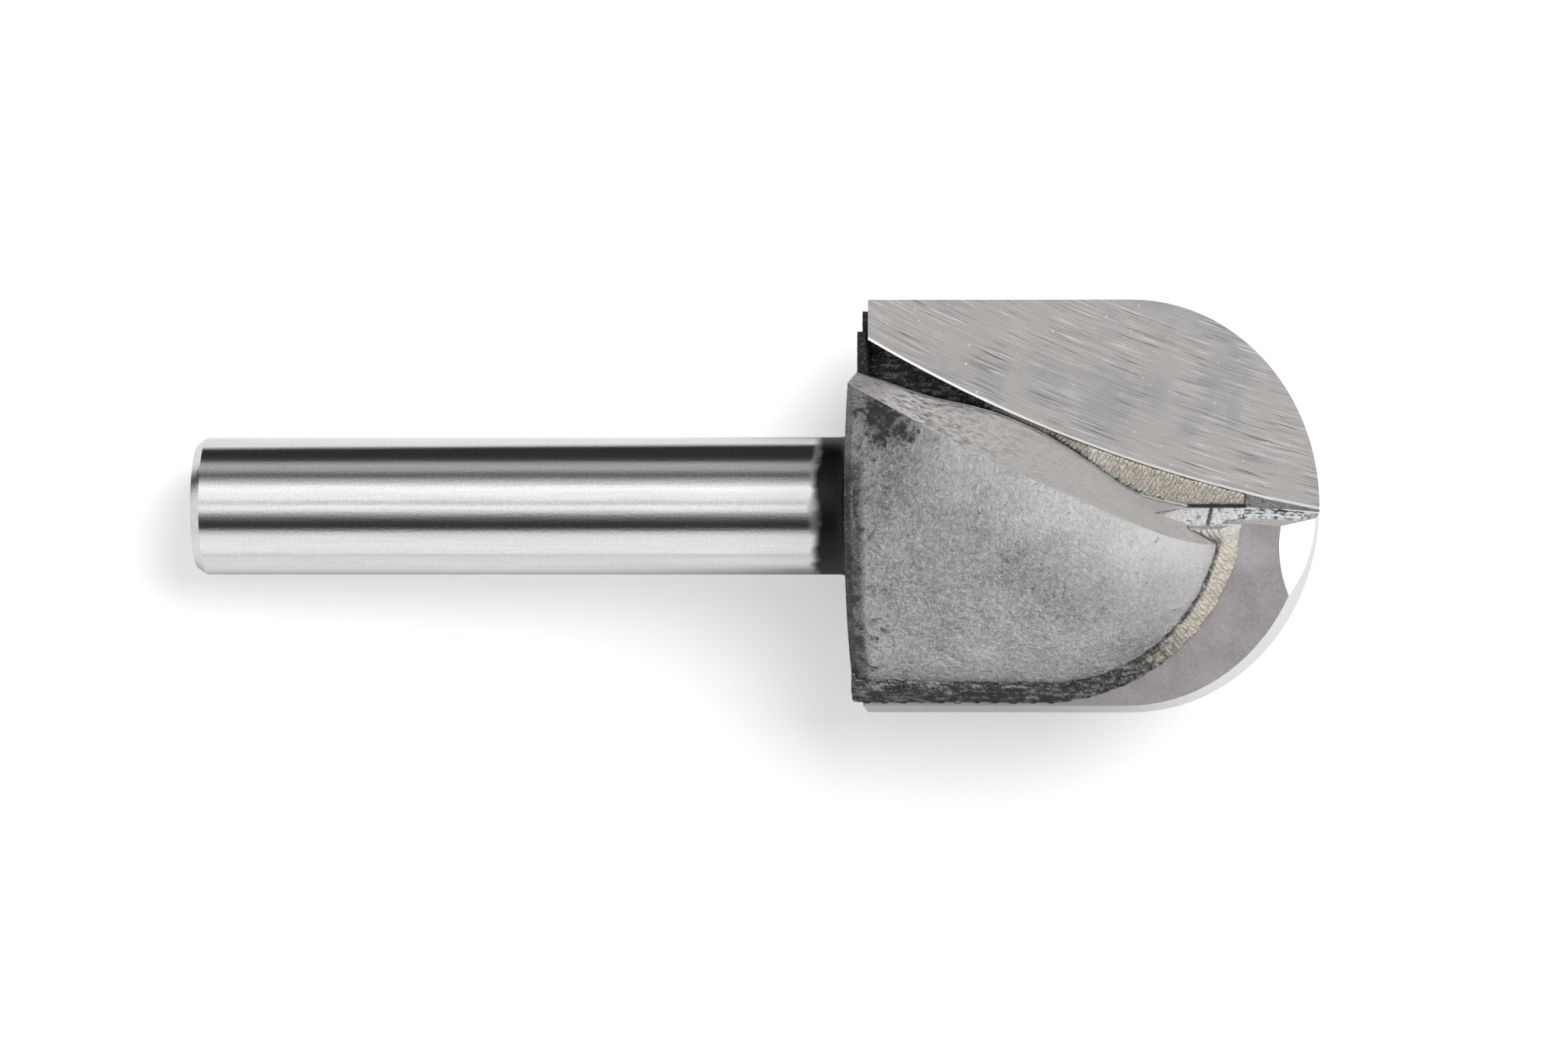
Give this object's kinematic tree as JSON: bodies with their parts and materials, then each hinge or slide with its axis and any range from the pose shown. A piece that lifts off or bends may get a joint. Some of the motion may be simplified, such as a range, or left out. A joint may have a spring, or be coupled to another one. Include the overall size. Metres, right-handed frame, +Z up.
{
  "type": "ball nose router bit",
  "caption": "Round nose router bit with a plain ground shank, a relieved steel head and brazed carbide inserts ground to a ball profile.",
  "frame": {"origin": "bottom centre of the bounding box, on the table that the bit lies on", "axes": "+X along the table from the shank's end to the nose, +Y across the cutting edges, +Z up from the table. The bit's own axis rises 6.1 degrees towards the nose, as it does when the bit lies on its shank's end and one heel."},
  "size_m": [0.0522, 0.019, 0.0147],
  "materials": {
    "steel": "satin",
    "carbide": "satin",
    "braze": "satin"
  },
  "bodies": {
    "root": {"steel_body": "steel", "carbide_insert_1": "carbide", "carbide_insert_2": "carbide", "braze_seam_1": "braze", "braze_seam_2": "braze"}
  },
  "joints": []
}
